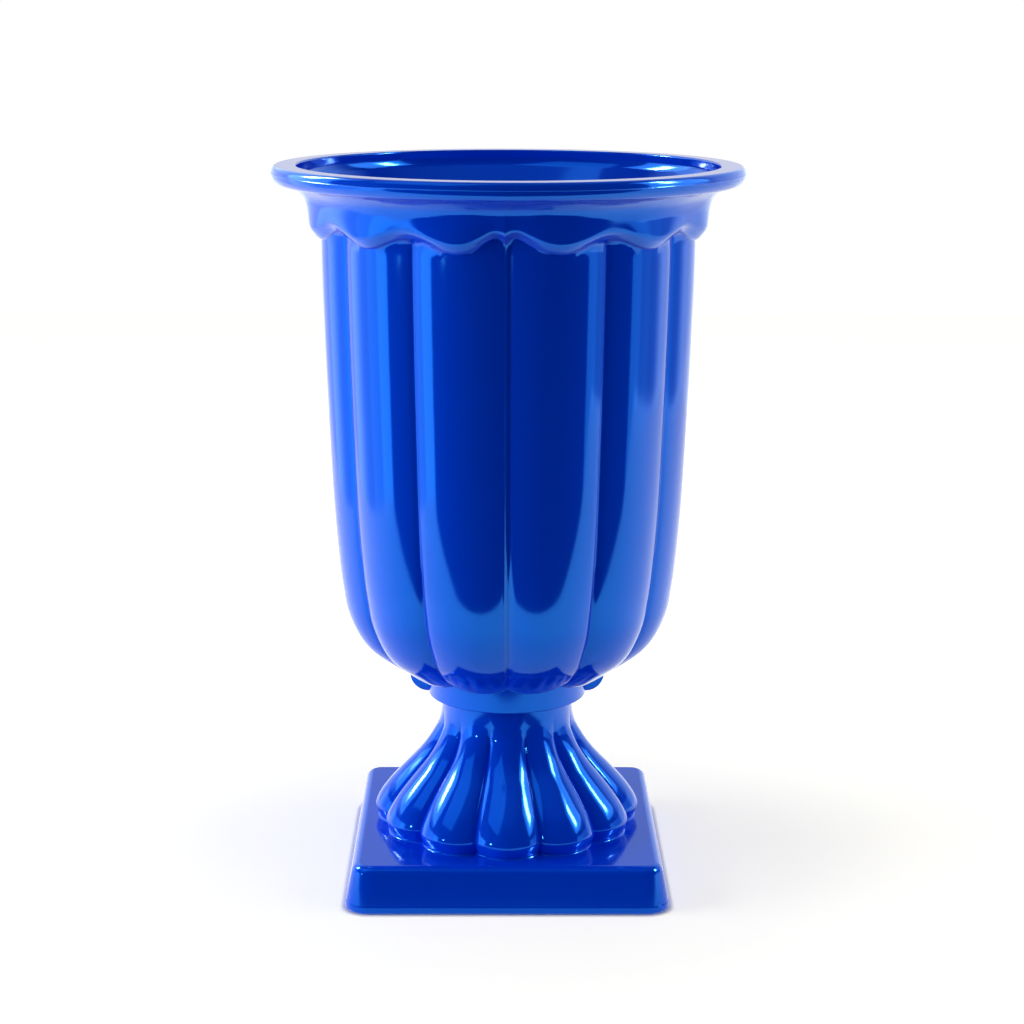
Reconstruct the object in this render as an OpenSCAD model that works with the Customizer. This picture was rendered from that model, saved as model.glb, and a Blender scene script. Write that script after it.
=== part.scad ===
// A fluted vase moulded in two pieces: an urn that lifts off a hollow pedestal with a square plinth.
// Millimetres, +Z up. The origin is the centre of the plinth's bottom face.

/* [Plinth] */
// Width of the square plinth across the lip at its bottom
plinth_w = 124.8; // [100:0.2:150]
// Height of the plinth
plinth_h = 17.8; // [14:0.1:26]
// How far each side leans in on its way up
plinth_draft = 1.4; // [0:0.1:3]
// Radius of the upright corners, at the bottom
plinth_corner_r = 9; // [6:0.5:14]
// Radius of the rounded top edge
plinth_edge_r = 1.6; // [0.6:0.1:2.4]
// Height of the lip round the bottom
lip_h = 2.8; // [1.2:0.1:4]
// How far the lip stands out from the side
lip_out = 0.8; // [0.2:0.1:1.2]
// Thickness of the plinth's top plate
plate_t = 2.4; // [1.6:0.1:3.6]

/* [Stem] */
// Height of the stem between the plinth and the urn's collar
stem_h = 52.6; // [44:0.1:75]
// Radius over the flutes at the stem's foot
foot_r = 53; // [44:0.5:56]
// Radius of the plain neck under the collar
neck_r = 26; // [22:0.1:32]
// Depth of the grooves between the flutes at the foot
stem_groove_d = 3.3; // [1:0.1:4.5]
// Step in where the neck goes up inside the collar
neck_step = 0.6; // [0.3:0.1:1.2]
// Wall of the neck round its bore
neck_wall = 3; // [2:0.1:4]

/* [Urn] */
// Number of flutes round the urn and round the stem
flute_count = 12; // [8:1:16]
// Height of the fluted body, from the collar to the cornice's hem
body_h = 171.6; // [130:0.1:230]
// Radius at the bottom of the grooves, just under the cornice
body_r = 69.2; // [60:0.1:74]
// Depth of the grooves between the body's flutes
groove_d = 3; // [1:0.1:4.5]
// Height of the collar's smooth band
collar_h = 11; // [8:0.1:14]
// How far the collar stands out past the neck
collar_out = 5.5; // [4.5:0.1:9]
// Radius of the small web beside the collar, left and right, where the mould's halves met
web_r = 7.4; // [5:0.1:8]
// Thickness of the webs
web_t = 3; // [2:0.1:5]

/* [Cornice and rim] */
// Height of the cornice, from the low points of its hem to the rim
cornice_h = 22; // [16:0.1:34]
// How far the hem rises over each groove
hem_rise = 4.4; // [0:0.1:7]
// Inner radius of the mouth
mouth_r = 80.8; // [78:0.1:92]
// Width of the rim, from the mouth to its outer edge
rim_w = 9.6; // [7:0.1:16]
// Height of the rim
rim_h = 5; // [4:0.1:9]
// Width of the rim's rounded outer edge
rim_edge_w = 3; // [1.5:0.1:3.5]
// Width of the flat under the rim, outside the cornice
rim_under_w = 3; // [1:0.1:3]

/* [Walls and fit] */
// Wall of the moulding
wall = 2.2; // [1.4:0.1:2.8]
// Thickness of the urn's floor
floor_t = 3.4; // [2.4:0.1:5]
// How far the floor's underside lies below the top of the collar's smooth band
floor_drop = 1; // [0.5:0.1:2]
// How far the urn's spigot reaches down below its floor
spigot_h = 16; // [11:0.1:30]
// Radial clearance of the spigot in the neck's bore
fit_gap = 0.05; // [0.02:0.01:0.1]
// Space under the spigot before the bore widens
bore_spare = 1.5; // [0.5:0.1:4]

/* [Hidden] */
$fn = 96;

// Steps drawn across one flute, and between two points of a profile
flute_steps = 8;
profile_steps = 2;
corner_steps = 6;
edge_steps = 4;
// Turn of the flutes, as a share of one flute: a groove of the urn and a flute of the stem face the front
urn_turn_share = 0;
stem_turn_share = 0.5;
// How far a cut runs past the face it opens, and a joined solid into its neighbour
overrun = 1;

// Profile of the stem over its flutes:
// [share of stem_h, share of the way from neck_r to foot_r, share of the groove's depth]
stem_shares = [
    [0, 0.97, 1], [0.038, 0.97, 1], [0.05, 0.995, 1], [0.095, 1, 1], [0.18, 0.93, 1],
    [0.28, 0.79, 0.95], [0.40, 0.58, 0.85], [0.51, 0.375, 0.75], [0.595, 0.242, 0.65],
    [0.675, 0.142, 0.5], [0.755, 0.056, 0.3], [0.82, 0.012, 0.12], [0.88, 0, 0], [1, 0, 0]
];

// Profile of the body along its grooves:
// [share of body_h, share of the way from collar_r to body_r, share of the groove's depth]
body_shares = [
    [0.002, -0.02, 0], [0.0045, 0.08, 0.5], [0.009, 0.22, 0.72], [0.026, 0.385, 0.44],
    [0.066, 0.575, 0.86], [0.106, 0.68, 1.2], [0.155, 0.77, 1.15], [0.202, 0.815, 1.06],
    [0.255, 0.857, 0.88], [0.348, 0.905, 0.68], [0.447, 0.937, 0.6], [0.575, 0.96, 0.63],
    [0.715, 0.978, 0.78], [0.854, 0.99, 0.9], [0.97, 1, 1]
];

// Profile of the cornice:
// [share of its height, share of the way from body_r to cornice_top_r, share of the groove's depth]
cornice_shares = [
    [0, -0.01, 1], [0.01, 0.04, 0.9], [0.03, 0.085, 0.86], [0.07, 0.13, 0.84], [0.13, 0.195, 0.82],
    [0.24, 0.295, 0.78], [0.35, 0.355, 0.7], [0.5, 0.435, 0.5], [0.66, 0.6, 0.25], [0.8, 0.785, 0.08],
    [0.92, 0.925, 0], [1, 1, 0]
];

// Outer edge of the rim, from its top face down to its under face:
// [share of rim_edge_w in from the edge, share of rim_h up]
rim_shares = [
    [0.62, 1], [0.32, 0.95], [0.14, 0.84], [0.04, 0.62], [0.03, 0.54], [0, 0.5], [0.06, 0.46],
    [0.25, 0.22], [0.42, 0.08], [0.7, 0]
];

// Bend of the flare inside the cornice
flare_share = 1.15;
flare_steps = 6;

ring_points = flute_count * flute_steps;
plate_z = plinth_h - plate_t;
collar_z = plinth_h + stem_h;
body_z = collar_z + collar_h;
seat_z = body_z - floor_drop;
hem_z = body_z + body_h;
arch_z = hem_z + hem_rise;
rim_z = hem_z + cornice_h;
top_z = rim_z + rim_h;
floor_z = seat_z + floor_t;
collar_r = neck_r + collar_out;
neck_top_r = neck_r - neck_step;
bore_r = neck_top_r - neck_wall;
spigot_r = bore_r - fit_gap;
spigot_z = seat_z - spigot_h;
rim_r = mouth_r + rim_w;
cornice_top_r = rim_r - rim_under_w - rim_edge_w;

function mix(a, b, share) = a + (b - a) * share;

// One point of a smooth curve through b and c, with a before them and d after them
function curve_point(a, b, c, d, s) =
    0.5 * (2 * b + (c - a) * s + (2 * a - 5 * b + 4 * c - d) * s * s + (3 * b - a - 3 * c + d) * s * s * s);

// A smooth curve through every row of a table
function smooth(rows, steps) =
    let (last = len(rows) - 1) [
        for (i = [0:last - 1])
            for (k = [0:steps - 1])
                curve_point(rows[max(i - 1, 0)], rows[i], rows[i + 1], rows[min(i + 2, last)], k / steps),
        rows[last]
    ];

// Place across a flute, from 0 in one groove to 1 in the next
function flute_place(i) = (i % flute_steps) / flute_steps;

// Height of a flute above its grooves, from 0 in the groove to 1 on the crest
function crest_share(i) = 1 - pow(2 * flute_place(i) - 1, 2);

// Height of the hem over its low points, from 1 at a groove to 0 at a crest
function arch_share(i) = (1 + cos(360 * flute_place(i))) / 2;

// A point at a radius and height, at the i-th place round the axis.
// turn is the share of a flute that it is turned by.
function round_point(r, z, i, turn) =
    let (angle = 360 * (i / ring_points + turn / flute_count) - 90)
        [r * cos(angle), r * sin(angle), z];

// Outward normal of a profile of [radius, height] points at its i-th point, going up the outside
function profile_normal(p, i) =
    let (a = p[max(i - 1, 0)], b = p[min(i + 1, len(p) - 1)], run = norm(b - a))
        [(b[1] - a[1]) / run, (a[0] - b[0]) / run];

// A closed solid of stacked rings of equal count, the lowest first, with a flat fan at each end
module stacked_rings(rings) {
    n = len(rings[0]);
    last = len(rings) - 1;
    equal_shares = [for (i = [1:n]) 1 / n];
    points = [for (ring = rings) each ring, equal_shares * rings[0], equal_shares * rings[last]];
    sides = [
        for (j = [0:last - 1])
            for (i = [0:n - 1])
                let (a = j * n + i, b = j * n + (i + 1) % n)
                    each [[a, a + n, b + n], [a, b + n, b]]
    ];
    ends = [
        for (i = [0:n - 1])
            let (b = (i + 1) % n, low = (last + 1) * n)
                each [[low, i, b], [low + 1, last * n + b, last * n + i]]
    ];
    polyhedron(points, concat(sides, ends), convexity = 8);
}

// Ring of a square with rounded corners
function square_ring(half, r, z) = [
    for (q = [0:3])
        for (k = [0:corner_steps])
            let (angle = 90 * (q + k / corner_steps), side = half - r)
                [
                    side * sign(cos(90 * q + 45)) + r * cos(angle),
                    side * sign(sin(90 * q + 45)) + r * sin(angle),
                    z
                ]
];

// The plinth's outside, as [inset from the lip, height] going up
plinth_side_in = lip_out + plinth_draft;
plinth_profile = concat(
    [[lip_out, 0], [0, lip_out], [0, lip_h - lip_out], [lip_out, lip_h]],
    [
        for (k = [0:edge_steps])
            let (angle = 90 * k / edge_steps)
                [
                    plinth_side_in + plinth_edge_r * (1 - cos(angle)),
                    plinth_h - plinth_edge_r * (1 - sin(angle))
                ]
    ]
);

module plinth_outside() {
    stacked_rings([for (p = plinth_profile) square_ring(plinth_w / 2 - p[0], plinth_corner_r - p[0], p[1])]);
}

// The tray under the plinth, with a wall left all round
module plinth_hollow() {
    half = plinth_w / 2 - plinth_side_in - wall;
    r = plinth_corner_r - plinth_side_in - wall;
    translate([0, 0, -overrun])
        linear_extrude(plate_z + overrun) {
            square([2 * half, 2 * (half - r)], center = true);
            square([2 * (half - r), 2 * half], center = true);
            for (x = [-1, 1])
                for (y = [-1, 1])
                    translate([x * (half - r), y * (half - r)])
                        circle(r);
        }
}

stem_rows = smooth(stem_shares, profile_steps);

function stem_crest_r(row) = mix(neck_r, foot_r, row[1]);

function stem_ring(row, z) = [
    for (i = [0:ring_points - 1])
        let (r = stem_crest_r(row) - stem_groove_d * row[2] * (1 - crest_share(i)))
            round_point(r, z, i, stem_turn_share)
];

module stem_outside() {
    foot_row = stem_rows[0];
    sides = [for (row = stem_rows) stem_ring(row, plinth_h + stem_h * row[0])];
    top = [for (i = [0:ring_points - 1]) round_point(neck_r, collar_z + overrun, i, stem_turn_share)];
    stacked_rings(concat([stem_ring(foot_row, plate_z + overrun)], sides, [top]));
}

// The space inside the stem, from the tray up to the neck's bore
module stem_hollow() {
    side = [
        for (row = stem_rows)
            let (
                r = stem_crest_r(row) - stem_groove_d * row[2] - wall,
                z = plinth_h + stem_h * row[0] - plate_t
            )
                if (r > bore_r && z < spigot_z - bore_spare) [r, z]
    ];
    rotate_extrude()
        polygon(concat(
            [[0, plate_z - overrun], [side[0][0], plate_z - overrun]], side,
            [[bore_r, spigot_z - bore_spare], [0, spigot_z - bore_spare]]
        ));
    translate([0, 0, spigot_z - bore_spare - overrun])
        cylinder(r = bore_r, h = seat_z - spigot_z + bore_spare + 2 * overrun);
}

module pedestal() {
    color("royalblue")
        difference() {
            union() {
                plinth_outside();
                stem_outside();
                translate([0, 0, collar_z])
                    cylinder(r = neck_top_r, h = seat_z - collar_z);
            }
            plinth_hollow();
            stem_hollow();
        }
}

// Profile of the body along its grooves, as [radius, height, share of the groove's depth]
body_rows = [
    for (row = smooth(body_shares, profile_steps))
        [mix(collar_r, body_r, row[1]), body_z + body_h * row[0], row[2]]
];

// The fluted body and the cornice that hangs over it, filled solid
module body_outside() {
    path = [for (row = body_rows) [row[0], row[1]]];
    body = [
        for (j = [0:len(path) - 1])
            let (out = profile_normal(path, j), depth = groove_d * body_rows[j][2])
                [
                    for (i = [0:ring_points - 1])
                        let (spot = path[j] + depth * crest_share(i) * out)
                            round_point(spot[0], spot[1], i, urn_turn_share)
                ]
    ];
    cornice = [
        for (row = cornice_shares)
            [
                for (i = [0:ring_points - 1])
                    round_point(
                        mix(body_r, cornice_top_r, row[1]) + groove_d * row[2] * crest_share(i),
                        mix(mix(hem_z, arch_z, arch_share(i)), rim_z, row[0]), i, urn_turn_share
                    )
            ]
    ];
    top = [for (i = [0:ring_points - 1]) round_point(cornice_top_r, rim_z + overrun, i, urn_turn_share)];
    stacked_rings(concat(body, cornice, [top]));
}

module rim() {
    inner = mouth_r - overrun;
    edge = [for (p = rim_shares) [rim_r - rim_edge_w * p[0], rim_z + rim_h * p[1]]];
    rotate_extrude()
        polygon(concat([[inner, rim_z], [inner, top_z]], edge));
}

// The space inside the urn, from its floor to its mouth
module urn_hollow() {
    side = [
        for (row = body_rows)
            let (r = row[0] - wall, z = row[1] + floor_t - floor_drop)
                if (z > floor_z && z < arch_z) [r, z]
    ];
    flare = [
        for (k = [0:flare_steps])
            let (s = k / flare_steps)
                [mix(body_r - wall, mouth_r, pow(s, flare_share)), mix(arch_z, rim_z, s)]
    ];
    rotate_extrude()
        polygon(concat(
            [[0, floor_z], [side[0][0], floor_z]], side, flare,
            [[mouth_r, top_z + overrun], [0, top_z + overrun]]
        ));
}

// The webs left by the mould, between the collar and the underside of the body
module webs() {
    for (side = [-1, 1])
        translate([side * collar_r, 0, collar_z + web_r]) {
            rotate([90, 0, 0])
                cylinder(r = web_r, h = web_t, center = true);
            translate([-web_r, -web_t / 2, 0])
                cube([2 * web_r, web_t, floor_z - collar_z - web_r]);
        }
}

module urn() {
    color("mediumblue") {
        difference() {
            union() {
                rim();
                body_outside();
                translate([0, 0, collar_z])
                    cylinder(r = collar_r, h = floor_z - collar_z);
                webs();
            }
            urn_hollow();
            translate([0, 0, collar_z - overrun])
                cylinder(r = collar_r - wall, h = seat_z - collar_z + overrun);
        }
        difference() {
            translate([0, 0, spigot_z])
                cylinder(r = spigot_r, h = spigot_h + floor_t / 2);
            translate([0, 0, spigot_z - overrun])
                cylinder(r = spigot_r - wall, h = spigot_h + overrun);
        }
    }
}

pedestal();
urn();
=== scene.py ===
"""A fluted vase of glossy blue moulded plastic: an urn with a scalloped cornice on a hollow pedestal."""

import math

import bpy
from bpy.props import FloatProperty, FloatVectorProperty, IntProperty, PointerProperty, StringProperty
from mathutils import Matrix, Vector


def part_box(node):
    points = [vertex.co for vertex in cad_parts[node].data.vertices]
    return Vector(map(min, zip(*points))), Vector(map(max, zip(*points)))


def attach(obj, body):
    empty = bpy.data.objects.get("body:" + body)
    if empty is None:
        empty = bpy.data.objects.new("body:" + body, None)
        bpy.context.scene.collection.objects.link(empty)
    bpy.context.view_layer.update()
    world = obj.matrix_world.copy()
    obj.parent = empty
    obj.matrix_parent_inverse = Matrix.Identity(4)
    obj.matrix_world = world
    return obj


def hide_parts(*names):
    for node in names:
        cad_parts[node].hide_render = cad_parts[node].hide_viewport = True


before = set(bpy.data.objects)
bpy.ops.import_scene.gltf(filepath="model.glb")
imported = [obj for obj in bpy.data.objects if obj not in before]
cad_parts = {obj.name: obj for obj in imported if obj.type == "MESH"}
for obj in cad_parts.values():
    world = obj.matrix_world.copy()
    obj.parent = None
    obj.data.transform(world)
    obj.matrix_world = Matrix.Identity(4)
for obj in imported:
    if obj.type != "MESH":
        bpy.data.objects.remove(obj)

bl_info = {
    "name": "Fluted plastic vase",
    "version": (1, 0, 0),
    "blender": (4, 5, 0),
    "location": "3D View > Sidebar > Vase",
    "description": "Builds a fluted plastic vase around its packed frame, with a studio round it",
    "category": "Add Mesh",
}

MM = 0.001
URN_LOW, URN_HIGH = (Vector(p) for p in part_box("urn"))
PEDESTAL_LOW, PEDESTAL_HIGH = (Vector(p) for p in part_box("pedestal"))
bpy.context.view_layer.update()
# What the moulded detail keeps clear of the frame's box
SKIN_GAP = 0.02 * MM
# How far from a fillet the flat beside it has a ring of its own, which keeps the flat's shading flat
FLAT_GUARD = 0.06 * MM
# Edges of the mouldings that bend more than this show as sharp
SHARP_ANGLE = math.radians(40)

# Profile of the body along its grooves:
# (share of the body's height, share of the way from the collar's radius to the body's, share of the
# grooves' depth)
BODY_SHARES = (
    (0.002, -0.02, 0.0), (0.0045, 0.08, 0.5), (0.009, 0.22, 0.72), (0.026, 0.385, 0.44),
    (0.066, 0.575, 0.86), (0.106, 0.68, 1.2), (0.155, 0.77, 1.25), (0.202, 0.813, 1.2),
    (0.255, 0.85, 1.12), (0.348, 0.892, 1.05), (0.447, 0.923, 1.0), (0.575, 0.947, 1.0),
    (0.715, 0.972, 1.0), (0.854, 0.99, 1.0), (0.96, 1.0, 1.0),
)
# Profile of the cornice above its hem:
# (share of its height, share of the way from the hem's to the top's radius, share of the wave's depth)
CORNICE_SHARES = (
    (0.0, 0.0, 1.0), (0.014, 0.05, 0.97), (0.047, 0.138, 0.94), (0.1, 0.232, 0.9),
    (0.175, 0.352, 0.8), (0.233, 0.415, 0.7), (0.303, 0.452, 0.6), (0.442, 0.494, 0.4),
    (0.582, 0.541, 0.2), (0.698, 0.597, 0.1), (0.815, 0.691, 0.0), (0.91, 0.83, 0.0),
    (1.0, 1.0, 0.0),
)
# Outer edge of the rim, from the cornice up to its flat top, with the slight ridge that the mould left:
# (share of the way in from the outside to the cornice's top, share of the rim's height)
RIM_SHARES = (
    (1.0, 0.0), (0.54, 0.1), (0.28, 0.175), (0.16, 0.27), (0.07, 0.42),
    (0.03, 0.54), (0.012, 0.625), (0.0, 0.65), (0.014, 0.675), (0.03, 0.76),
    (0.065, 0.88), (0.13, 0.965), (0.23, 1.0), (0.26, 1.0), (0.5, 1.0),
)
# Profile of the stem over its lobes, from the plinth up:
# (share of the stem's height, share of the way from the neck to the foot, share of the grooves' depth)
STEM_SHARES = (
    (0.0, 0.945, 0.95), (0.02, 0.952, 0.96), (0.045, 0.975, 1.0), (0.075, 0.995, 1.0),
    (0.11, 1.0, 1.0), (0.18, 0.94, 1.0), (0.28, 0.8, 0.95), (0.40, 0.59, 0.85),
    (0.51, 0.385, 0.75), (0.595, 0.252, 0.65), (0.675, 0.152, 0.5), (0.755, 0.07, 0.3),
    (0.82, 0.034, 0.12), (0.88, 0.018, 0.03), (0.94, 0.007, 0.0), (1.0, 0.0, 0.0),
)
# Rings from one row of a table to the next: on the body and the cornice, on the rim and on the stem
BODY_STEPS, RIM_STEPS, STEM_STEPS = 4, 3, 5

# Points of a ring for each flute, on the urn and on the pedestal
URN_POINTS, PEDESTAL_POINTS = 30, 36
# How far the flutes are turned, in flutes: the urn has a groove at the front and the stem has a lobe there
URN_TURN, STEM_TURN = 0.0, 0.5
# How much a ring's points gather by the grooves, from 0 for evenly spaced points up to 1
GATHER = 0.6
# Clear space round a closer group of points, as a share of the group's half width
GROUP_ROOM = 1.15
# How sharply the narrow crease in each groove falls away
CREASE_POWER = 24

# Azimuths of the lines that the mould left on the urn, in degrees from the front towards +X
FRONT_LINE, BACK_LINE = -1.3, 178.7
URN_LINES = (FRONT_LINE, 90, BACK_LINE, 270)
# Half width of such a line in degrees, the ring points across it, and how far it stands out
LINE_HALF, LINE_POINTS, LINE_HEIGHT = 0.35, 5, 0.12 * MM
# The kinks in the hem where the front and back lines cross it: how much higher such an arch stands and how
# deep the kink cuts into it, as shares of an even arch's rise, how sharply, and its half width in degrees
KINK_LIFT, KINK_DEPTH, KINK_POWER, KINK_HALF = 0.6, 0.6, 1.5, 4.5
# Closer groups of points on the pedestal's rings, on the plinth's rounded corners and in the middle of its
# left and right sides: (azimuth in degrees, half width in degrees, points)
PEDESTAL_GROUPS = ((45, 8, 21), (135, 8, 21), (225, 8, 21), (315, 8, 21), (90, 0.5, 5), (270, 0.5, 5))

# Polypropylene has an IOR of 1.5, with a specular level of 0.5: both are raised to match this strong gloss
PLASTIC_IOR, PLASTIC_SPECULAR = 1.8, 1.0
# Slow waves of the moulded skin: their height, how strongly they show, and their finer detail
WAVE_HEIGHT, WAVE_STRENGTH, WAVE_DETAIL, WAVE_ROUGHNESS = 0.25 * MM, 0.25, 1.0, 0.4

COOL, WARM, WHITE = "#B0E4FF", "#FFDCBE", "#FFFFFF"
# The sides of the studio: (name, sign of X, how far out its panels stand, share of their full radiance).
# Places and sizes of all lamps are in metres, measured from the foot of the vase's axis
SIDES = (("left", -1, 0.75, 1.0), ("right", 1, 0.85, 0.45))
# Low panels along each side, from the front to the back: (name, Y of its front, Y of its back, radiance)
SIDE_PANELS = (("edge", -0.4, -0.18, 3.6), ("front", -0.18, 0.03, 2.3), ("side", 0.03, 0.6, 1.7))
SIDE_HEIGHTS = (-0.3, 0.25)
# Y where the high panels beside the vase start, Y where the panels behind it start, and X and Y of their end
HIGH_Y, BACK_Y, BACK_END = 0.0, 0.6, (0.25, 1.0)
# Heights and radiance of the low panel behind the vase, and of the high panels beside and behind it
BACK_HEIGHTS, BACK_RADIANCE = (-0.3, 0.4), 0.45
HIGH_HEIGHTS, HIGH_RADIANCE = (0.3, 0.85), 0.7
FAR_HEIGHTS, FAR_RADIANCE = (0.42, 0.9), 1.2
# Narrow strips, which make the sharp highlights on the flutes, and the softer halo and glow round each:
# (name, sign of X, front end, back end, heights, radiance, colour)
STRIPS = (
    ("strip_left", -1, (0.73, 0.22), (0.73, 0.32), (0.5, 0.9), 90.0, WARM),
    ("halo_left", -1, (0.735, 0.17), (0.735, 0.37), (0.45, 0.95), 7.0, WHITE),
    ("glow_left", -1, (0.74, 0.0), (0.74, 0.55), (0.35, 1.05), 3.0, COOL),
    ("strip_right", 1, (0.82, -0.18), (0.82, -0.08), (0.55, 0.9), 90.0, WARM),
    ("halo_right", 1, (0.825, -0.23), (0.825, -0.03), (0.5, 0.95), 6.0, WHITE),
    ("glow_right", 1, (0.83, -0.35), (0.83, 0.25), (0.4, 1.05), 3.5, COOL),
)
# Square lamps that show in the gloss alone: (name, place, width, radiance, colour)
GLINTS = (
    ("spot_left", (-0.57, -0.57, 0.21), 0.05, 70.0, WARM),
    ("shine_crown", (-0.5, -0.4, 1.0), 0.7, 1.2, COOL),
)
# Square lamps that light the body colour and don't show in the gloss: (name, place, width, radiance, colour)
FILLS = (
    ("fill_top", (0.1, -0.1, 1.1), 0.9, 0.6, WHITE),
    ("fill_left", (-1.0, -0.2, 0.35), 0.7, 4.4, WHITE),
    ("fill_right", (1.0, -0.25, 0.45), 0.7, 2.0, WHITE),
)

# Extents of the table in metres: the gloss shows its left and front edges, and the darker room past them
TABLE_LEFT, TABLE_RIGHT, TABLE_FRONT, TABLE_BACK = -0.56, 0.9, -0.27, 1.6
# Strength of the table's white for the camera, near the vase and far from it, with the distances from the
# vase's axis in metres. It is lower near the vase, so that the sheet keeps the vase's shadow
NEAR_REACH, FAR_REACH = 0.12, 0.4
NEAR_WHITE, FAR_WHITE = 0.6, 1.0
# How far the painted contact shade, a dark line on the sheet under the plinth, reaches, and how quickly it
# falls away
PAINTED_CONTACT_SHADE_REACH, PAINTED_CONTACT_SHADE_POWER = 2.5 * MM, 4.0
# Strength of the table's glow in the gloss, a painted reflection that is lower near the plinth as painted
# shade and brightest by the table's front edge: (distance from the vase's axis in metres, strength)
PAINTED_REFLECTION_GLOW = ((0.08, 0.8), (0.2, 1.3), (0.27, 1.6), (1.0, 1.0))
# Colours of the table's matt white and of the glow that it shows to the camera and, as a painted reflection,
# to the gloss, and of the
# surroundings: the backdrop, the dark room, its ceiling, and the plain light that matt surfaces get
SHEET, SHEET_GLOW = "#E6E6E8", "#FFFAE8"
BACKDROP_TOP, BACKDROP_FOOT = "#DCE8F8", "#FFFFFF"
ROOM, CEILING, GREY_LIGHT = "#14161C", "#7890B0", "#64666C"
# Where the surroundings change in the gloss, as the Y or Z of a direction, from the first colour to the
# second: from the dark room to the backdrop, from the backdrop's top to its foot, and to the ceiling
BEHIND_FROM, BEHIND_TO = 0.3, 0.5
FOOT_FROM, FOOT_TO = 0.3, 0.18
CEILING_FROM, CEILING_TO = 0.72, 0.92
# Width of the camera's sensor in millimetres
SENSOR_WIDTH = 36.0


def length(name, description, millimetres):
    """A length that the user can change, given in millimetres."""
    return FloatProperty(name=name, description=description, default=millimetres * MM,
                         unit="LENGTH", subtype="DISTANCE", precision=5)


def plain(name, description, value, low=0.0, high=1.0):
    """A plain number that the user can change."""
    return FloatProperty(name=name, description=description, default=value, min=low, max=high)


class UrnSizes(bpy.types.PropertyGroup):
    """Sizes of the urn that the frame's box doesn't give."""

    flutes: IntProperty(name="Flutes", description="Flutes round the urn", default=12, min=8, max=16)
    body_height: length("Body height", "Height of the fluted body, from the collar to the hem", 171.6)
    body_radius: length("Body radius", "Radius in the grooves just under the cornice", 69.2)
    groove_depth: length("Groove depth", "Depth of the grooves in the upper body", 3.0)
    flute_power: plain("Flute power", "2 gives round flutes, more gives flatter ones", 2.1, 1.5, 6.0)
    crease: plain("Crease", "Share of the groove's depth that lies in its narrow crease", 0.15)
    valley: plain("Valley", "Rounding of the grooves' bottoms, as a share of half a flute", 0.03)
    collar_radius: length("Collar radius", "Radius of the smooth collar", 31.5)
    collar_height: length("Collar height", "Height of the collar's smooth band", 11.0)
    web_radius: length("Web radius", "Radius of the small webs beside the collar", 7.4)
    web_thickness: length("Web thickness", "Thickness of the small webs", 3.0)
    hem_ridge: length("Hem ridge", "Radius of the hem where it arches over a groove", 71.2)
    hem_wave: length("Hem wave", "How much further out the hem is at its low points", 1.5)
    hem_rise: length("Hem rise", "How far the hem rises over each groove", 4.4)
    hem_bevel: length("Hem bevel", "Height of the bevel under each arch of the hem", 1.7)
    cornice_height: length("Cornice height", "Height of the cornice over the hem's low points", 18.9)
    cornice_top_radius: length("Cornice top radius", "Radius where the cornice meets the rim", 81.7)
    mouth_radius: length("Mouth radius", "Inner radius of the mouth", 80.8)
    mouth_depth: length("Mouth depth", "Height of the mouth's straight inner wall", 5.0)
    rim_height: length("Rim height", "Height of the rim, from the cornice to its top", 8.1)
    wall: length("Wall", "Wall of the moulding", 2.2)
    floor: length("Floor", "Thickness of the urn's floor", 3.4)
    spigot_radius: length("Spigot radius", "Radius of the spigot under the urn", 22.35)


class PedestalSizes(bpy.types.PropertyGroup):
    """Sizes of the pedestal that the frame's box doesn't give."""

    plinth_height: length("Plinth height", "Height of the square plinth", 17.8)
    draft: length("Draft", "How far the plinth's sides lean in", 3.0)
    corner_radius: length("Corner radius", "Radius of the plinth's upright corners", 9.0)
    edge_radius: length("Edge radius", "Radius of the plinth's top edge", 3.4)
    lip_height: length("Lip height", "Height of the lip round the bottom", 2.8)
    lip_out: length("Lip stand-out", "How far the lip stands out", 0.2)
    plate: length("Plate", "Thickness of the plinth's top", 2.4)
    stem_height: length("Stem height", "Height of the stem up to the collar", 52.6)
    foot_radius: length("Foot radius", "Radius over the lobes at the stem's foot", 53.0)
    foot_fillet: length("Foot fillet", "Fillet between the stem and the plinth", 0.8)
    neck_radius: length("Neck radius", "Radius of the plain neck", 25.7)
    neck_step: length("Neck step", "Step in at the top of the neck", 0.6)
    groove_depth: length("Groove depth", "Depth of the grooves at the foot", 5.0)
    flute_power: plain("Flute power", "2 gives round lobes, more gives flatter ones", 2.0, 1.5, 6.0)
    crease: plain("Crease", "Share of the groove's depth that lies in its narrow crease", 0.15)
    valley: plain("Valley", "Rounding of the grooves' bottoms, as a share of half a lobe", 0.03)
    bore_radius: length("Bore radius", "Radius of the bore that takes the urn's spigot", 22.4)
    bore_depth: length("Bore depth", "Depth of the bore", 17.5)


class FinishValues(bpy.types.PropertyGroup):
    """Colours and finish of the plastic."""

    plastic: StringProperty(name="Plastic", description="Colour of the plastic", default="#0042E0")
    gloss_tint: StringProperty(name="Gloss tint", description="Tint of the gloss head on", default="#3098FF")
    roughness: plain("Roughness", "Roughness of the gloss", 0.09)
    waviness: length("Waviness", "Spacing of the slow waves that the mould left", 22.0)


class StudioValues(bpy.types.PropertyGroup):
    """The studio round the vase."""

    camera_place: FloatVectorProperty(
        name="Camera place", description="Where the camera stands", size=3, subtype="TRANSLATION",
        default=(-4.91 * MM, -867.6 * MM, 342.3 * MM))
    camera_pitch: plain("Camera pitch", "Degrees that the camera looks down", 12.89, 0.0, 90.0)
    camera_heading: plain("Camera heading", "Degrees that the camera is turned right", 0.44, -180.0, 180.0)
    camera_roll: plain("Camera roll", "Degrees that the camera is rolled", 0.19, -90.0, 90.0)
    lens: plain("Lens", "Focal length in millimetres on a 36 mm sensor", 79.24, 10.0, 300.0)


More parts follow.
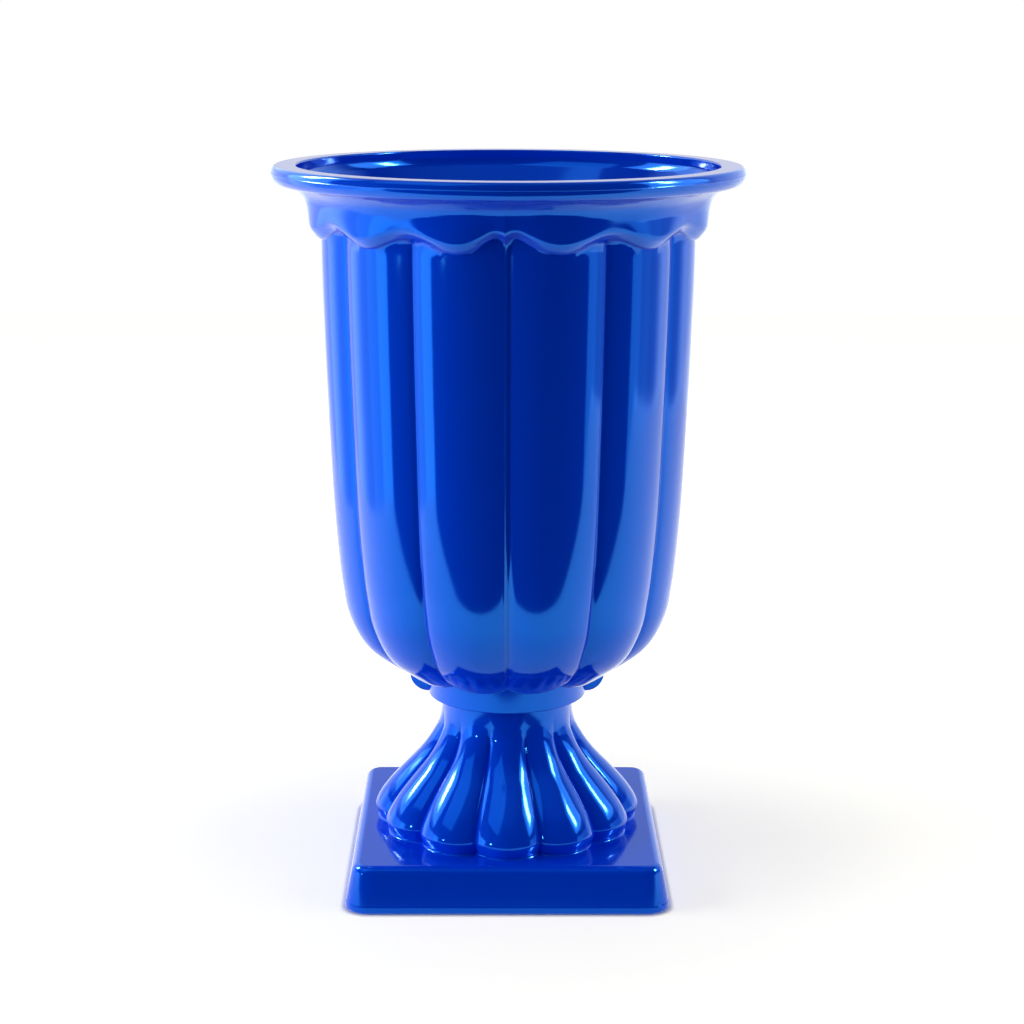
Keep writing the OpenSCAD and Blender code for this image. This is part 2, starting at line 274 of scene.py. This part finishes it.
def node(tree, kind, settings=None, **inputs):
    """Adds a node. Its inputs, by name or as i0, i1 and so on by number, are linked or set to a value."""
    made = tree.nodes.new(kind)
    for name, value in (settings or {}).items():
        setattr(made, name, value)
    for name, value in inputs.items():
        by_number = name[0] == "i" and name[1:].isdigit()
        socket = made.inputs[int(name[1:]) if by_number else name.replace("_", " ")]
        if isinstance(value, bpy.types.NodeSocket):
            tree.links.new(value, socket)
        else:
            socket.default_value = value
    return made


def linear(hex_colour):
    """An sRGB hex colour as linear red, green, blue and alpha."""
    parts = [int(hex_colour[i:i + 2], 16) / 255 for i in (1, 3, 5)]
    return tuple(c / 12.92 if c <= 0.04045 else ((c + 0.055) / 1.055) ** 2.4 for c in parts) + (1.0,)


def mix(a, b, share):
    """The value a share of the way from a to b."""
    return a + (b - a) * share


def smooth(rows, steps):
    """A smooth curve through every row of a table, with a number of steps from each row to the next."""
    last = len(rows) - 1
    curve = []
    for i in range(last):
        before, start, end, after = rows[max(i - 1, 0)], rows[i], rows[i + 1], rows[min(i + 2, last)]
        for k in range(steps):
            s = k / steps
            # The cubic from q to r, whose slopes there come from their neighbours p and t
            curve.append(tuple(
                0.5 * (2 * q + (r - p) * s + (2 * p - 5 * q + 4 * r - t) * s ** 2
                       + (3 * q - p - 3 * r + t) * s ** 3)
                for p, q, r, t in zip(before, start, end, after)))
    curve.append(tuple(rows[last]))
    return curve


def rounded(corners, steps=4):
    """A path of (radius, height) through corners given as (radius, height, fillet)."""
    path = []
    for i, (x, z, fillet) in enumerate(corners):
        here = Vector((x, z))
        if fillet == 0 or i in (0, len(corners) - 1):
            path.append((x, z))
            continue
        to_last = (Vector(corners[i - 1][:2]) - here).normalized()
        to_next = (Vector(corners[i + 1][:2]) - here).normalized()
        half = to_last.angle(to_next) / 2
        centre = here + (to_last + to_next).normalized() * fillet / math.sin(half)
        start = here + to_last * fillet / math.tan(half)
        end = here + to_next * fillet / math.tan(half)
        path.append(tuple(start + to_last * FLAT_GUARD))
        for k in range(steps + 1):
            arm = (start - centre) * (1 - k / steps) + (end - centre) * (k / steps)
            path.append(tuple(centre + arm.normalized() * fillet))
        path.append(tuple(end + to_next * FLAT_GUARD))
    return path


def past(azimuth, place):
    """How far an azimuth lies past a place on the ring, from minus half a turn to half a turn."""
    return (azimuth - place + math.pi) % math.tau - math.pi


def crest(azimuth, flutes, turn, sizes):
    """Height of a flute over its grooves, from 0 in the crease of a groove to 1 on the crest."""
    place = (azimuth / math.tau * flutes + turn) % 1
    off = 1 - abs(2 * place - 1)
    valley = sizes.valley
    away = 1 - (math.hypot(off, valley) - valley) / (math.hypot(1, valley) - valley)
    return 1 - (1 - sizes.crease) * away ** sizes.flute_power - sizes.crease * away ** CREASE_POWER


def arch(azimuth, flutes):
    """Height of the hem as a share of its rise: 0 at its low points, 1 over a groove, more beside a kink."""
    half = math.pi / flutes
    kink = min((math.radians(place) for place in (FRONT_LINE, BACK_LINE)),
               key=lambda place: abs(past(azimuth, place)))
    groove = round(kink / half / 2) * half * 2
    off = past(azimuth, groove)
    if abs(off) > half:
        return (1 + math.cos(azimuth * flutes)) / 2
    # A kinked arch has its middle on the mould's line, a little beside its groove
    moved = off - (kink - groove) * (1 - abs(off) / half)
    even = (1 + math.cos(moved * flutes)) / 2
    near = max(0.0, 1 - abs(past(azimuth, kink)) / math.radians(KINK_HALF))
    return even * (1 + KINK_LIFT * even - KINK_DEPTH * near ** KINK_POWER)


def mould_line(azimuth):
    """How far the lines that the mould left stand out from the urn."""
    off = min(abs(past(azimuth, math.radians(place))) for place in URN_LINES)
    return LINE_HEIGHT * max(0.0, 1 - off / math.radians(LINE_HALF))


def azimuths(flutes, turn, per_flute, groups):
    """Azimuths of a ring's points, closer by the grooves and in groups of (middle, half width, points)."""
    found = []
    for flute in range(flutes):
        for k in range(per_flute):
            s = k / per_flute
            place = flute + s - GATHER * math.sin(math.tau * s) / math.tau - turn
            found.append(place / flutes * math.tau)
    for degrees, half_degrees, count in groups:
        middle, half = math.radians(degrees), math.radians(half_degrees)
        found = [a for a in found if abs(past(a, middle)) > half * GROUP_ROOM]
        found += [middle + half * (2 * k / (count - 1) - 1) for k in range(count)]
    return sorted(a % math.tau for a in found)


def on_ring(azimuth, radius, z):
    """The point at an azimuth, 0 facing the front and turning towards +X."""
    return radius * math.sin(azimuth), -radius * math.cos(azimuth), z


def square_radius(azimuth, half, corner):
    """Distance from the axis to the side of a square with rounded corners."""
    across, along = abs(math.sin(azimuth)), abs(math.cos(azimuth))
    radius = half / max(across, along)
    inner = half - corner
    if min(across, along) * radius <= inner:
        return radius
    reach = inner * (across + along)
    return reach + math.sqrt(max(reach ** 2 - 2 * inner ** 2 + corner ** 2, 0))


def web_path(sizes, collar_z, floor_z):
    """Outline of a web beside the collar as (distance from the axis, height), quarter round below."""
    steps = 12
    middle = Vector((sizes.collar_radius, collar_z + sizes.web_radius))
    foot = sizes.collar_radius - sizes.wall / 2
    path = [(foot, middle.y - sizes.web_radius)]
    for k in range(steps + 1):
        angle = math.pi / 2 * k / steps
        path.append((middle.x + sizes.web_radius * math.sin(angle),
                     middle.y - sizes.web_radius * math.cos(angle)))
    return path + [(middle.x + sizes.web_radius, floor_z), (foot, floor_z)]


def web(path, thickness, side):
    """A thin plate with rounded edges, on side -1 or 1 of the axis: rings of points round its outline."""
    middle = Vector((sum(p[0] for p in path), sum(p[1] for p in path))) / len(path)
    rounding = thickness * 0.3
    rings = [[(side * middle.x, side * thickness / 2, middle.y)]]
    for degrees in (90, 67, 45, 22, 0, -22, -45, -67, -90):
        angle = math.radians(degrees)
        inset = rounding * (1 - math.cos(angle))
        across = math.copysign(thickness / 2 - rounding, angle) if angle else 0
        across += rounding * math.sin(angle)
        ring = []
        for x, z in path:
            inward = middle - Vector((x, z))
            spot = Vector((x, z)) + inward.normalized() * inset
            ring.append((side * spot.x, side * across, spot.y))
        rings.append(ring)
    rings.append([(side * middle.x, -side * thickness / 2, middle.y)])
    return rings


def band(low, low_count, high, high_count):
    """Faces from one ring to the next, each given by its first point's number and its count of points."""
    faces = []
    count = max(low_count, high_count)
    for i in range(count):
        k = (i + 1) % count
        if low_count == 1:
            faces.append((low, high + k, high + i))
        elif high_count == 1:
            faces.append((low + i, low + k, high))
        else:
            faces.append((low + i, low + k, high + k, high + i))
    return faces


def skin(name, *stacks, closed=False):
    """A mesh object from stacks of rings. A ring of one point closes an end, or closed joins both ends."""
    points = []
    faces = []
    for rings in stacks:
        starts = []
        for ring in rings:
            starts.append(len(points))
            points += ring
        pairs = [(len(rings) - 1, 0)] if closed else []
        pairs += [(j, j + 1) for j in range(len(rings) - 1)]
        for low, high in pairs:
            faces += band(starts[low], len(rings[low]), starts[high], len(rings[high]))
    mesh = bpy.data.meshes.new(name)
    mesh.from_pydata(points, [], faces)
    mesh.validate()
    piece = bpy.data.objects.new(name, mesh)
    bpy.context.scene.collection.objects.link(piece)
    return piece


def finish_piece(piece, material):
    """Gives a piece its material and its smooth shading, broken only at sharp edges."""
    piece.data.materials.append(material)
    piece.data.shade_smooth()
    piece.data.set_sharp_from_angle(angle=SHARP_ANGLE)


def moulded_plastic():
    """Injection-moulded gloss polypropylene, coloured through: one material for both pieces."""
    # The eye sees an even deep blue under sharp, blue-tinted highlights, which slow waves of the skin bend
    made = bpy.data.materials.get("moulded_blue_plastic")
    if made:
        return made
    values = bpy.context.scene.vase_finish
    made = bpy.data.materials.new("moulded_blue_plastic")
    made.use_nodes = True
    tree = made.node_tree
    tree.nodes.clear()
    place = node(tree, "ShaderNodeTexCoord").outputs["Object"]
    waves = node(tree, "ShaderNodeTexNoise", Vector=place, Scale=1 / values.waviness,
                 Detail=WAVE_DETAIL, Roughness=WAVE_ROUGHNESS)
    bump = node(tree, "ShaderNodeBump", Strength=WAVE_STRENGTH, Distance=WAVE_HEIGHT,
                Height=waves.outputs["Fac"])
    shader = node(tree, "ShaderNodeBsdfPrincipled", Base_Color=linear(values.plastic),
                  Roughness=values.roughness, IOR=PLASTIC_IOR, Specular_IOR_Level=PLASTIC_SPECULAR,
                  Specular_Tint=linear(values.gloss_tint), Normal=bump.outputs["Normal"])
    node(tree, "ShaderNodeOutputMaterial", Surface=shader.outputs["BSDF"])
    return made


class VASE_OT_urn(bpy.types.Operator):
    """Build the urn: rim, cornice, fluted body, collar, spigot and inside as one moulding"""

    bl_idname = "vase.urn"
    bl_label = "Urn"

    def execute(self, context):
        s = context.scene.vase_urn
        seat_z = PEDESTAL_HIGH.z
        spigot_z = URN_LOW.z + SKIN_GAP
        top_z = URN_HIGH.z - SKIN_GAP
        rim_z = URN_HIGH.z - s.rim_height
        rim_radius = URN_HIGH.x - SKIN_GAP
        hem_z = rim_z - s.cornice_height
        body_z = hem_z - s.body_height
        collar_z = body_z - s.collar_height
        floor_z = seat_z + s.floor
        around = azimuths(s.flutes, URN_TURN, URN_POINTS, [(a, LINE_HALF, LINE_POINTS) for a in URN_LINES])
        crests = [crest(a, s.flutes, URN_TURN, s) for a in around]
        arches = [arch(a, s.flutes) for a in around]
        lines = [mould_line(a) for a in around]

        def plain_ring(radius, z):
            return [on_ring(a, radius, z) for a in around]

        def hem(share):
            return hem_z + s.hem_rise * share

        # Spigot, seat and collar, from the middle of the underside outwards
        spigot_bore = s.spigot_radius - s.wall
        skirt_bore = s.collar_radius - s.wall
        bore_fillet, spigot_fillet, seat_fillet = 0.5 * MM, 0.8 * MM, 0.3 * MM
        skirt_bore_fillet, skirt_fillet = 0.4 * MM, 0.5 * MM
        collar_guard = 0.2 * MM
        below = rounded([
            (spigot_bore, seat_z, 0), (spigot_bore, spigot_z, bore_fillet),
            (s.spigot_radius, spigot_z, spigot_fillet), (s.spigot_radius, seat_z, seat_fillet),
            (skirt_bore, seat_z, seat_fillet), (skirt_bore, collar_z, skirt_bore_fillet),
            (s.collar_radius, collar_z, skirt_fillet), (s.collar_radius, body_z - collar_guard, 0),
            (s.collar_radius, body_z, 0),
        ])
        rings = [[(0, 0, seat_z)]] + [plain_ring(r, z) for r, z in below]

        # Body: the flutes stand out square to the profile
        rows = [(mix(s.collar_radius, s.body_radius, r), body_z + s.body_height * z, s.groove_depth * depth)
                for z, r, depth in smooth(BODY_SHARES, BODY_STEPS)]
        for j, (radius, z, depth) in enumerate(rows):
            low, high = rows[max(j - 1, 0)], rows[min(j + 1, len(rows) - 1)]
            out = Vector((high[1] - low[1], low[0] - high[0])).normalized()
            rings.append([on_ring(a, radius + (depth * c + ridge) * out.x, z + depth * c * out.y)
                          for a, c, ridge in zip(around, crests, lines)])

        # Last rings of the body, which bend with the hem's arches as they come up to its bevel
        body_top = rows[-1][1]
        for share in (0.6, 1.0):
            rings.append([on_ring(a, s.body_radius + s.groove_depth * c + ridge,
                                  mix(body_top, hem(h) - s.hem_bevel * h, share))
                          for a, c, ridge, h in zip(around, crests, lines, arches)])

        # Cornice and rim
        for z, r, wave in smooth(CORNICE_SHARES, BODY_STEPS):
            radius = mix(s.hem_ridge, s.cornice_top_radius, r)
            rings.append([on_ring(a, radius + s.hem_wave * wave * (1 - h), mix(hem(h), rim_z, z))
                          for a, h in zip(around, arches)])
        for inward, up in smooth(RIM_SHARES, RIM_STEPS)[1:]:
            radius = mix(rim_radius, s.cornice_top_radius, inward)
            rings.append(plain_ring(radius, min(mix(rim_z, top_z, up), top_z)))

        # Mouth and inside: the wall is smooth and follows the grooves' profile on every second ring, from
        # the mouth's curve down to the floor's corner
        inside = [(r - s.wall, z + s.floor) for r, z, _ in rows if z + s.floor < hem(1)]
        floor_row, mouth_row, row_step = 2 * BODY_STEPS, -3, 2
        mouth_edge, mouth_bend, shoulder_bend, mouth_steps = 0.7 * MM, 6 * MM, 8 * MM, 8
        last_radius, last_z = inside[-1]
        last_guard = 1 * MM
        mouth = rounded([
            (rim_radius, top_z, 0), (s.mouth_radius, top_z, mouth_edge),
            (s.mouth_radius, top_z - s.mouth_depth, mouth_bend),
            (s.body_radius - s.wall, hem(1), shoulder_bend), (last_radius, last_z - last_guard, 0),
        ], mouth_steps)
        rings += [plain_ring(r, z) for r, z in mouth[1:]]
        corner_height, corner_start, corner_end, corner_lift = 2 * MM, 2 * MM, 5 * MM, 0.3 * MM
        rings += [plain_ring(r, z) for r, z in reversed(inside[floor_row:mouth_row:row_step])
                  if z > floor_z + corner_height]
        floor_radius = inside[floor_row][0]
        rings += [plain_ring(floor_radius - corner_start, floor_z + corner_lift),
                  plain_ring(floor_radius - corner_end, floor_z), [(0, 0, floor_z)]]

        path = web_path(s, collar_z, floor_z)
        webs = [web(path, s.web_thickness, side) for side in (-1, 1)]
        urn = skin("urn_moulding", rings, *webs)
        finish_piece(urn, moulded_plastic())
        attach(urn, "urn")
        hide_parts("urn")
        return {"FINISHED"}


class VASE_OT_pedestal(bpy.types.Operator):
    """Build the pedestal: square plinth, fluted stem and bored neck as one hollow moulding"""

    bl_idname = "vase.pedestal"
    bl_label = "Pedestal"

    def execute(self, context):
        s = context.scene.vase_pedestal
        half = PEDESTAL_HIGH.x - SKIN_GAP
        low_z = PEDESTAL_LOW.z
        top_z = PEDESTAL_HIGH.z - SKIN_GAP
        plate_z = low_z + s.plinth_height
        collar_z = plate_z + s.stem_height
        bore_end = top_z - s.bore_depth
        side_in = s.lip_out + s.draft
        flutes = context.scene.vase_urn.flutes
        around = azimuths(flutes, STEM_TURN, PEDESTAL_POINTS, PEDESTAL_GROUPS)
        crests = [crest(a, flutes, STEM_TURN, s) for a in around]

        def square_ring(inset, z):
            return [on_ring(a, square_radius(a, half - inset, s.corner_radius - inset), z) for a in around]

        def stem_ring(radius, depth, z):
            return [on_ring(a, radius - depth * (1 - c), z) for a, c in zip(around, crests)]

        # Plinth, from its foot up to its top, as (distance in from its outline, height, fillet)
        foot_band, top_band = 3 * MM, 3 * MM
        foot_edge, lip_edge, shoulder_bend, shoulder_rise = 1.0 * MM, 0.3 * MM, 0.2 * MM, 0.3 * MM
        plinth_steps = 5
        lip_z = low_z + s.lip_height
        outside = rounded([
            (foot_band, low_z, 0), (0, low_z, foot_edge), (0, lip_z, lip_edge),
            (s.lip_out, lip_z + shoulder_rise, shoulder_bend), (side_in, plate_z, s.edge_radius),
            (side_in + top_band, plate_z, 0),
        ], plinth_steps)
        rings = [square_ring(inset, z) for inset, z in outside]

        # Stem: a shallow ring on the plinth round it, the fillet at its foot, and its lobes
        rows = [(mix(s.neck_radius, s.foot_radius, r), plate_z + s.stem_height * z, s.groove_depth * depth)
                for z, r, depth in smooth(STEM_SHARES, STEM_STEPS)]
        foot_radius, _, foot_depth = rows[0]
        fillet, fillet_steps = s.foot_fillet, 5
        apron_out, apron_depth = 3 * fillet, foot_depth * 0.7
        rings.append(stem_ring(foot_radius + apron_out, apron_depth, plate_z))
        for k in range(fillet_steps + 1):
            angle = math.pi / 2 * k / fillet_steps
            rings.append(stem_ring(foot_radius + fillet * (1 - math.sin(angle)), foot_depth,
                                   plate_z + fillet * (1 - math.cos(angle))))
        rings += [stem_ring(r, depth, z) for r, z, depth in rows if z > plate_z + fillet]

        # Neck and bore: the step lies inside the collar's skirt
        overlap = 1 * MM
        step_edge, step_bend, neck_edge, bore_edge = 0.3 * MM, 0.2 * MM, 0.3 * MM, 0.5 * MM
        step_radius = s.neck_radius - s.neck_step
        top = rounded([
            (s.neck_radius, collar_z - overlap, 0), (s.neck_radius, collar_z + overlap, step_edge),
            (step_radius, collar_z + overlap, step_bend), (step_radius, top_z, neck_edge),
            (s.bore_radius, top_z, bore_edge), (s.bore_radius, bore_end, 0),
        ])
        rings += [stem_ring(r, 0, z) for r, z in top[1:]]

        # Inside, down to the plinth's open underside: smooth, and a plate's thickness in from the grooves
        bore_room = 0.5 * MM
        inner = [(r - depth - s.plate, z - s.plate) for r, z, depth in rows]
        inner = [(r, z) for r, z in inner if r > s.bore_radius and z < bore_end - bore_room]
        rings += [stem_ring(r, 0, z) for r, z in reversed(inner)]
        tray_z = plate_z - s.plate
        tray_in = side_in + s.plate
        opening = inner[0][0]
        opening_band, tray_bend, tray_lean, foot_chamfer = 3 * MM, 2 * MM, 0.8 * MM, 0.4 * MM
        rings += [
            stem_ring(opening, 0, tray_z), stem_ring(opening + opening_band, 0, tray_z),
            square_ring(tray_in + tray_bend, tray_z), square_ring(tray_in, tray_z - tray_bend),
            square_ring(tray_in - tray_lean, low_z + foot_chamfer),
            square_ring(tray_in - tray_lean - foot_chamfer, low_z),
        ]
        pedestal = skin("pedestal_moulding", rings, closed=True)
        finish_piece(pedestal, moulded_plastic())
        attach(pedestal, "pedestal")
        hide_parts("pedestal")
        return {"FINISHED"}


def softbox(name, centre, width, height, facing, radiance, colour):
    """An area lamp of a given radiance, which lights the vase and shows in its gloss, not to the camera."""
    light = bpy.data.lights.new(name, "AREA")
    light.color = linear(colour)[:3]
    light.shape = "RECTANGLE"
    light.size, light.size_y = width, height
    light.energy = radiance * math.pi * width * height
    lamp = bpy.data.objects.new(name, light)
    lamp.location = centre
    lamp.rotation_mode = "QUATERNION"
    lamp.rotation_quaternion = Vector(facing).to_track_quat("-Z", "Y")
    lamp.visible_camera = False
    bpy.context.scene.collection.objects.link(lamp)
    return lamp


def panel(name, side, front, back, heights, radiance, colour):
    """An upright softbox from one point of the floor plan to another, on one side, facing the vase."""
    start = Vector((side * front[0], front[1], 0))
    end = Vector((side * back[0], back[1], 0))
    along = end - start
    facing = Vector((-along.y, along.x, 0))
    if facing.dot(start + end) > 0:
        facing.negate()
    centre = (start + end) / 2
    centre.z = sum(heights) / 2
    return softbox(name, centre, along.length, heights[1] - heights[0], facing, radiance, colour)


def shine(lamp):
    """Leaves a lamp in the gloss alone."""
    lamp.visible_diffuse = False


def light_studio():
    """Sets up the lamps: panels on both sides, strips high beside the vase, glints and fills."""
    for name, side, x, bright in SIDES:
        for part, front, back, radiance in SIDE_PANELS:
            panel(f"softbox_{name}_{part}", side, (x, front), (x, back), SIDE_HEIGHTS,
                  radiance * bright, COOL)
        panel(f"softbox_{name}_back", side, (x, BACK_Y), BACK_END, BACK_HEIGHTS, BACK_RADIANCE, COOL)
        shine(panel(f"shine_{name}_high", side, (x, HIGH_Y), (x, BACK_Y), HIGH_HEIGHTS,
                    HIGH_RADIANCE * bright, COOL))
        shine(panel(f"shine_{name}_far", side, (x, BACK_Y), BACK_END, FAR_HEIGHTS,
                    FAR_RADIANCE * bright, COOL))
    for strip in STRIPS:
        shine(panel(*strip))
    for name, place, width, radiance, colour in GLINTS:
        shine(softbox(name, place, width, width, -Vector(place), radiance, colour))
    for name, place, width, radiance, colour in FILLS:
        softbox(name, place, width, width, -Vector(place), radiance, colour).visible_glossy = False


def white_sheet():
    """Matt white card that also glows. The eye sees plain white with the vase's shadow and a painted dark
    line under the plinth, and the gloss shows the glow as a painted reflection.
    """
    made = bpy.data.materials.new("white_sheet")
    made.use_nodes = True
    tree = made.node_tree
    tree.nodes.clear()
    ray = node(tree, "ShaderNodeLightPath").outputs
    matt = node(tree, "ShaderNodeBsdfDiffuse", Color=linear(SHEET))
    place = node(tree, "ShaderNodeTexCoord").outputs["Object"]
    away = node(tree, "ShaderNodeVectorMath", {"operation": "LENGTH"}, i0=place).outputs["Value"]
    lit = node(tree, "ShaderNodeMapRange", Value=away, From_Min=NEAR_REACH, From_Max=FAR_REACH,
               To_Min=NEAR_WHITE, To_Max=FAR_WHITE)
    # Painted shade: occlusion darkens the sheet's glow for the camera next to the plinth, which draws a dark
    # contact line under it
    contact_occlusion = node(tree, "ShaderNodeAmbientOcclusion", {"samples": 8}, Distance=PAINTED_CONTACT_SHADE_REACH)
    dark = node(tree, "ShaderNodeMath", {"operation": "POWER"}, i0=contact_occlusion.outputs["AO"], i1=PAINTED_CONTACT_SHADE_POWER)
    shown = node(tree, "ShaderNodeMath", {"operation": "MULTIPLY"}, i0=lit.outputs[0], i1=dark.outputs[0])
    # Painted reflection: the sheet glows in the gloss more brightly than the lamps light it, and dimmer by
    # the plinth as painted shade
    painted_reflection = node(tree, "ShaderNodeValToRGB", Fac=away)
    stops = painted_reflection.color_ramp.elements
    for reach, _ in PAINTED_REFLECTION_GLOW[1:-1]:
        stops.new(reach)
    for stop, (reach, light) in zip(stops, PAINTED_REFLECTION_GLOW):
        stop.position = reach
        stop.color = (light, light, light, 1)
    bright = node(tree, "ShaderNodeMix", i0=ray["Is Camera Ray"], i2=painted_reflection.outputs["Color"],
                  i3=shown.outputs[0])
    glow = node(tree, "ShaderNodeEmission", Color=linear(SHEET_GLOW), Strength=bright.outputs[0])
    seen = node(tree, "ShaderNodeMath", {"operation": "MAXIMUM"}, i0=ray["Is Camera Ray"],
                i1=ray["Is Glossy Ray"])
    seen = node(tree, "ShaderNodeMath", {"operation": "MAXIMUM"}, i0=seen.outputs[0],
                i1=ray["Is Transmission Ray"])
    both = node(tree, "ShaderNodeAddShader", i0=matt.outputs[0], i1=glow.outputs[0])
    out = node(tree, "ShaderNodeMixShader", Fac=seen.outputs[0], i1=matt.outputs[0], i2=both.outputs[0])
    node(tree, "ShaderNodeOutputMaterial", Surface=out.outputs[0])
    return made


def surroundings():
    """A world: white to the camera, plain grey light, and in the gloss a backdrop behind a dark room."""
    world = bpy.data.worlds.new("studio")
    world.use_nodes = True
    tree = world.node_tree
    tree.nodes.clear()
    colours = {"data_type": "RGBA"}
    ray = node(tree, "ShaderNodeLightPath").outputs
    way = node(tree, "ShaderNodeTexCoord").outputs["Generated"]
    parts = node(tree, "ShaderNodeSeparateXYZ", Vector=way).outputs
    behind = node(tree, "ShaderNodeMapRange", Value=parts["Y"], From_Min=BEHIND_FROM, From_Max=BEHIND_TO)
    foot = node(tree, "ShaderNodeMapRange", Value=parts["Z"], From_Min=FOOT_FROM, From_Max=FOOT_TO)
    above = node(tree, "ShaderNodeMapRange", Value=parts["Z"], From_Min=CEILING_FROM, From_Max=CEILING_TO)
    backdrop = node(tree, "ShaderNodeMix", colours, Factor=foot.outputs[0], i6=linear(BACKDROP_TOP),
                    i7=linear(BACKDROP_FOOT))
    room = node(tree, "ShaderNodeMix", colours, Factor=behind.outputs[0], i6=linear(ROOM),
                i7=backdrop.outputs[2])
    ceiling = node(tree, "ShaderNodeMix", colours, Factor=above.outputs[0], i6=room.outputs[2],
                   i7=linear(CEILING))
    fill = node(tree, "ShaderNodeMix", colours, Factor=ray["Is Diffuse Ray"], i6=ceiling.outputs[2],
                i7=linear(GREY_LIGHT))
    shown = node(tree, "ShaderNodeMix", colours, Factor=ray["Is Camera Ray"], i6=fill.outputs[2],
                 i7=linear(WHITE))
    back = node(tree, "ShaderNodeBackground", Color=shown.outputs[2], Strength=1.0)
    node(tree, "ShaderNodeOutputWorld", Surface=back.outputs[0])
    return world


class VASE_OT_studio(bpy.types.Operator):
    """Build the studio: camera, white table, lamps and surroundings"""

    bl_idname = "vase.studio"
    bl_label = "Studio"

    def execute(self, context):
        s = context.scene.vase_studio
        scene = context.scene
        camera_data = bpy.data.cameras.new("camera")
        camera_data.sensor_width = SENSOR_WIDTH
        camera_data.lens = s.lens
        camera = bpy.data.objects.new("camera", camera_data)
        scene.collection.objects.link(camera)
        turned = (Matrix.Rotation(math.radians(-s.camera_heading), 4, "Z")
                  @ Matrix.Rotation(math.radians(90 - s.camera_pitch), 4, "X")
                  @ Matrix.Rotation(math.radians(s.camera_roll), 4, "Z"))
        camera.matrix_world = Matrix.Translation(s.camera_place) @ turned
        scene.camera = camera

        corners = [(TABLE_LEFT, TABLE_FRONT, 0), (TABLE_RIGHT, TABLE_FRONT, 0),
                   (TABLE_RIGHT, TABLE_BACK, 0), (TABLE_LEFT, TABLE_BACK, 0)]
        table = bpy.data.meshes.new("white_table")
        table.from_pydata(corners, [], [(0, 1, 2, 3)])
        floor = bpy.data.objects.new("white_table", table)
        floor.location.z = -SKIN_GAP
        scene.collection.objects.link(floor)
        floor.data.materials.append(white_sheet())

        light_studio()
        scene.world = surroundings()
        scene.view_settings.view_transform = "Standard"
        return {"FINISHED"}


class VASE_PT_panel(bpy.types.Panel):
    """Lists the vase's pieces and sizes in the sidebar"""

    bl_idname = "VASE_PT_panel"
    bl_label = "Vase"
    bl_space_type = "VIEW_3D"
    bl_region_type = "UI"
    bl_category = "Vase"

    def draw(self, context):
        for group in GROUPS:
            values = getattr(context.scene, group)
            box = self.layout.box()
            for name in values.__annotations__:
                box.prop(values, name)
        for operator in OPERATORS:
            self.layout.operator(operator.bl_idname)


GROUPS = {"vase_urn": UrnSizes, "vase_pedestal": PedestalSizes, "vase_finish": FinishValues,
          "vase_studio": StudioValues}
OPERATORS = (VASE_OT_pedestal, VASE_OT_urn, VASE_OT_studio)
CLASSES = (*GROUPS.values(), *OPERATORS, VASE_PT_panel)


def register():
    """Adds the classes and the values that they read."""
    for kind in CLASSES:
        bpy.utils.register_class(kind)
    for name, kind in GROUPS.items():
        setattr(bpy.types.Scene, name, PointerProperty(type=kind))


def unregister():
    """Takes the values and the classes away."""
    for name in GROUPS:
        delattr(bpy.types.Scene, name)
    for kind in reversed(CLASSES):
        bpy.utils.unregister_class(kind)


def main():
    """Builds the vase and its studio."""
    register()
    bpy.ops.vase.pedestal()
    bpy.ops.vase.urn()
    bpy.ops.vase.studio()


if __name__ == "__main__":
    main()
